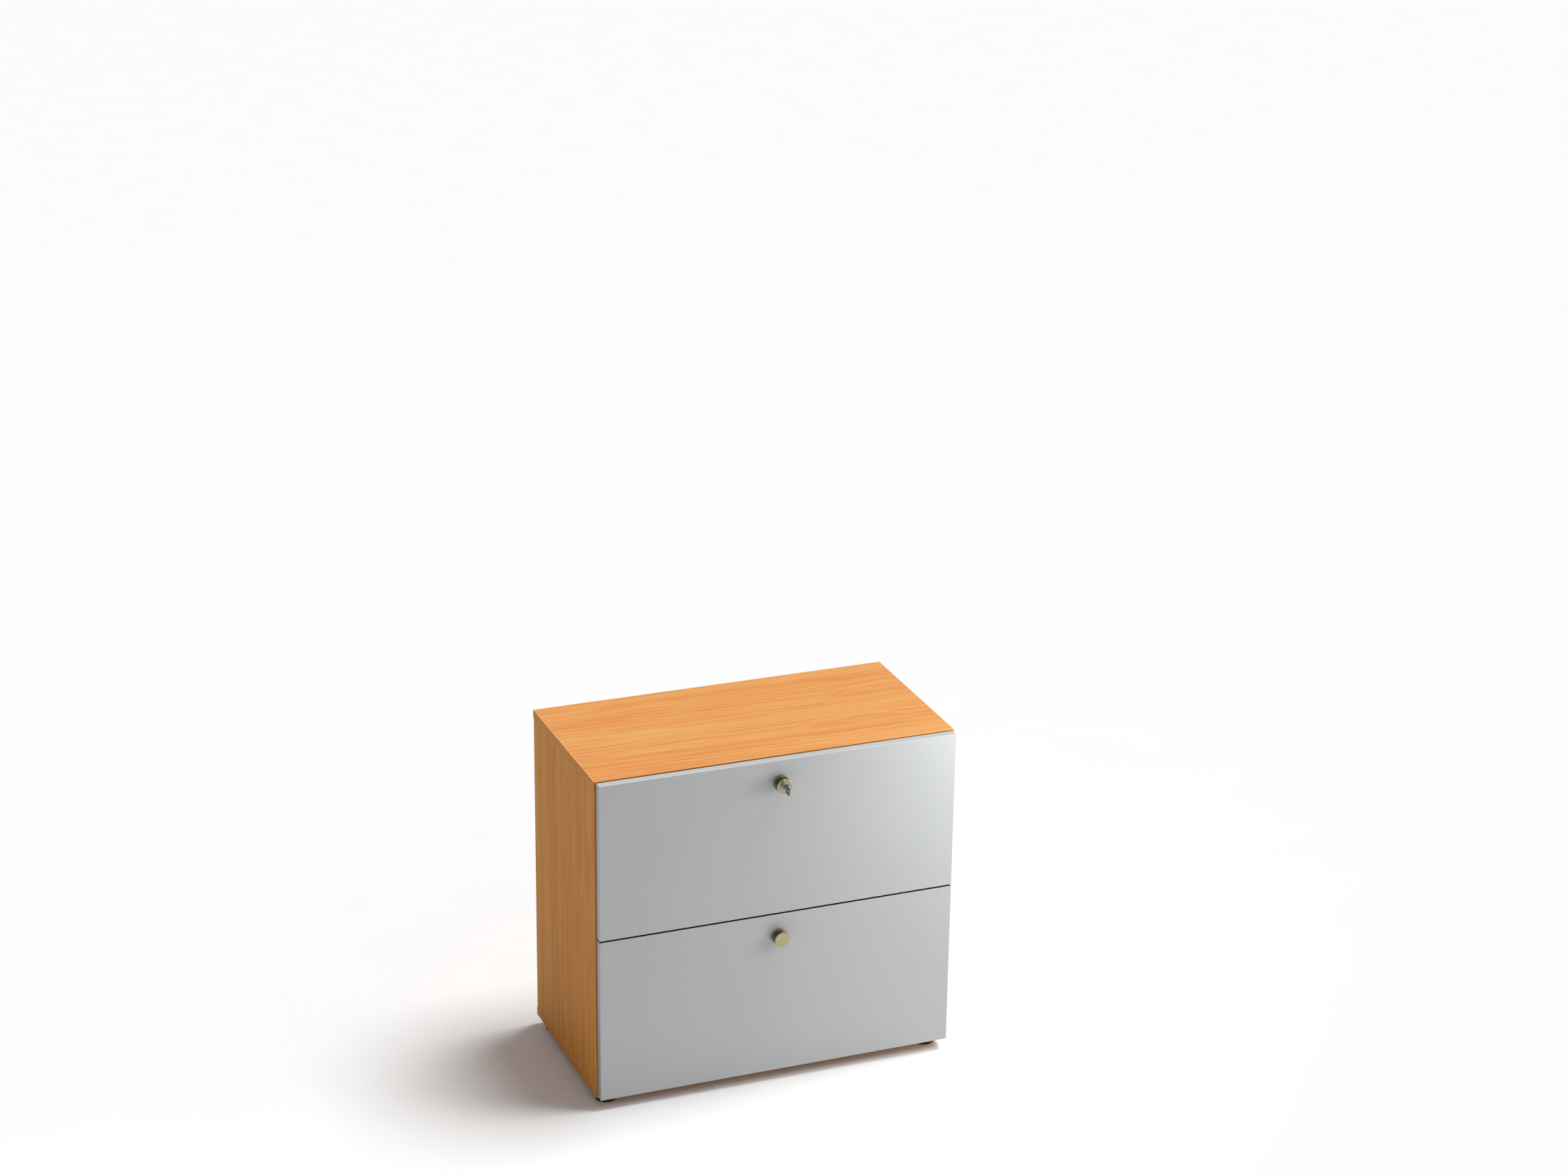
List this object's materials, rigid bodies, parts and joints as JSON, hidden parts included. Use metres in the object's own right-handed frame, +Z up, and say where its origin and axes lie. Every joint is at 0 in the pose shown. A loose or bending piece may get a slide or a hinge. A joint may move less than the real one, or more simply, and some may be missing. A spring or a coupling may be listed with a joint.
{
  "type": "hanging file cabinet",
  "caption": "Low wide office cabinet in beech laminate with silver drawer fronts, round brass knobs, a key lock, hanging-file frames on full-extension slides and levelling feet.",
  "frame": {"origin": "on the floor, under the centre of the whole object's box, knobs and key included", "axes": "+X to the right of someone facing the drawers, +Y from the drawer fronts to the back, +Z up"},
  "size_m": [0.8, 0.472, 0.748],
  "materials": {
    "beech_laminate": "satin beech laminate on particle board",
    "beech_edging": "satin beech-coloured edge band",
    "silver_laminate": "satin silver-grey laminate on board",
    "champagne_brass": "satin turned, black enamel in the grooves",
    "nickel": "nickel-plated",
    "key_steel": "nickel-plated steel, slightly dull",
    "zinc_steel": "zinc-plated, cold-rolled",
    "frame_grey": "grey powder coat",
    "black_plastic": "matt black, moulded"
  },
  "bodies": {
    "cabinet": {"top_panel": "beech_laminate", "top_edging": "beech_edging", "bottom_panel": "beech_laminate", "bottom_edging": "beech_edging", "left_side_panel": "beech_laminate", "right_side_panel": "beech_laminate", "back_panel": "beech_laminate", "left_strike": "zinc_steel", "right_strike": "zinc_steel", "lock_bar_guide": "black_plastic", "upper_left_cabinet_rail": "zinc_steel", "upper_right_cabinet_rail": "zinc_steel", "lower_left_cabinet_rail": "zinc_steel", "lower_right_cabinet_rail": "zinc_steel"},
    "upper_middle_rails": {"upper_left_middle_rail": "zinc_steel", "upper_right_middle_rail": "zinc_steel"},
    "upper_outer_cages": {"upper_left_outer_ball_cage": "zinc_steel", "upper_right_outer_ball_cage": "zinc_steel"},
    "upper_inner_cages": {"upper_left_inner_ball_cage": "zinc_steel", "upper_right_inner_ball_cage": "zinc_steel"},
    "upper_drawer": {"upper_drawer_front": "silver_laminate", "upper_left_drawer_rail": "zinc_steel", "upper_right_drawer_rail": "zinc_steel", "upper_left_hanging_rail": "frame_grey", "upper_right_hanging_rail": "frame_grey", "upper_centre_divider": "frame_grey", "upper_front_crossbar": "frame_grey", "upper_rear_crossbar": "frame_grey", "lock_knob": "champagne_brass", "lock_cylinder": "nickel", "lock_case": "zinc_steel", "left_rod_guide": "black_plastic", "right_rod_guide": "black_plastic"},
    "lower_middle_rails": {"lower_left_middle_rail": "zinc_steel", "lower_right_middle_rail": "zinc_steel"},
    "lower_outer_cages": {"lower_left_outer_ball_cage": "zinc_steel", "lower_right_outer_ball_cage": "zinc_steel"},
    "lower_inner_cages": {"lower_left_inner_ball_cage": "zinc_steel", "lower_right_inner_ball_cage": "zinc_steel"},
    "lower_drawer": {"lower_drawer_front": "silver_laminate", "lower_left_drawer_rail": "zinc_steel", "lower_right_drawer_rail": "zinc_steel", "lower_left_hanging_rail": "frame_grey", "lower_right_hanging_rail": "frame_grey", "lower_centre_divider": "frame_grey", "lower_front_crossbar": "frame_grey", "lower_rear_crossbar": "frame_grey", "plain_knob": "champagne_brass", "plain_knob_screw": "zinc_steel", "lower_lock_catch": "zinc_steel"},
    "lock_plug": {"lock_plug": "nickel", "lock_cam": "zinc_steel"},
    "key": {"key": "key_steel"},
    "left_lock_rod": {"left_lock_rod": "zinc_steel"},
    "right_lock_rod": {"right_lock_rod": "zinc_steel"},
    "central_lock_bar": {"central_lock_bar": "zinc_steel"},
    "front_left_foot": {"front_left_foot": "black_plastic"},
    "front_right_foot": {"front_right_foot": "black_plastic"},
    "rear_left_foot": {"rear_left_foot": "black_plastic"},
    "rear_right_foot": {"rear_right_foot": "black_plastic"}
  },
  "joints": [
    {"name": "upper_drawer_slide", "type": "slide", "parent": "cabinet", "child": "upper_drawer", "axis": [0, -1, 0], "range_m": [0, 0.35]},
    {"name": "upper_middle_rails_slide", "type": "slide", "parent": "cabinet", "child": "upper_middle_rails", "axis": [0, -1, 0], "range_m": [0, 0.175]},
    {"name": "upper_outer_cages_slide", "type": "slide", "parent": "cabinet", "child": "upper_outer_cages", "axis": [0, -1, 0], "range_m": [0, 0.0875]},
    {"name": "upper_inner_cages_slide", "type": "slide", "parent": "cabinet", "child": "upper_inner_cages", "axis": [0, -1, 0], "range_m": [0, 0.2625]},
    {"name": "lower_drawer_slide", "type": "slide", "parent": "cabinet", "child": "lower_drawer", "axis": [0, -1, 0], "range_m": [0, 0.35]},
    {"name": "lower_middle_rails_slide", "type": "slide", "parent": "cabinet", "child": "lower_middle_rails", "axis": [0, -1, 0], "range_m": [0, 0.175]},
    {"name": "lower_outer_cages_slide", "type": "slide", "parent": "cabinet", "child": "lower_outer_cages", "axis": [0, -1, 0], "range_m": [0, 0.0875]},
    {"name": "lower_inner_cages_slide", "type": "slide", "parent": "cabinet", "child": "lower_inner_cages", "axis": [0, -1, 0], "range_m": [0, 0.2625]},
    {"name": "lock_bar_lift", "type": "slide", "parent": "cabinet", "child": "central_lock_bar", "axis": [0, 0, 1], "range_m": [0, 0.008]},
    {"name": "lock_turn", "type": "hinge", "parent": "upper_drawer", "child": "lock_plug", "pos_m": [0, -0.208, 0.695], "axis": [0, 1, 0], "range_deg": [0, 90]},
    {"name": "key_withdraw", "type": "slide", "parent": "lock_plug", "child": "key", "axis": [0, -1, 0], "range_m": [0, 0.022]},
    {"name": "left_rod_slide", "type": "slide", "parent": "upper_drawer", "child": "left_lock_rod", "axis": [-1, 0, 0], "range_m": [0, 0.008]},
    {"name": "right_rod_slide", "type": "slide", "parent": "upper_drawer", "child": "right_lock_rod", "axis": [1, 0, 0], "range_m": [0, 0.008]},
    {"name": "front_left_foot_screw", "type": "slide", "parent": "cabinet", "child": "front_left_foot", "axis": [0, 0, -1], "range_m": [0, 0.01]},
    {"name": "front_right_foot_screw", "type": "slide", "parent": "cabinet", "child": "front_right_foot", "axis": [0, 0, -1], "range_m": [0, 0.01]},
    {"name": "rear_left_foot_screw", "type": "slide", "parent": "cabinet", "child": "rear_left_foot", "axis": [0, 0, -1], "range_m": [0, 0.01]},
    {"name": "rear_right_foot_screw", "type": "slide", "parent": "cabinet", "child": "rear_right_foot", "axis": [0, 0, -1], "range_m": [0, 0.01]}
  ],
  "couplings": [
    {"joint": "upper_middle_rails_slide", "follows": "upper_drawer_slide", "ratio": 0.5},
    {"joint": "upper_outer_cages_slide", "follows": "upper_drawer_slide", "ratio": 0.25},
    {"joint": "upper_inner_cages_slide", "follows": "upper_drawer_slide", "ratio": 0.75},
    {"joint": "lower_middle_rails_slide", "follows": "lower_drawer_slide", "ratio": 0.5},
    {"joint": "lower_outer_cages_slide", "follows": "lower_drawer_slide", "ratio": 0.25},
    {"joint": "lower_inner_cages_slide", "follows": "lower_drawer_slide", "ratio": 0.75},
    {"joint": "lock_turn", "follows": "lock_bar_lift", "rad_per_m": 196.34},
    {"joint": "left_rod_slide", "follows": "lock_bar_lift", "ratio": 1},
    {"joint": "right_rod_slide", "follows": "lock_bar_lift", "ratio": 1}
  ]
}
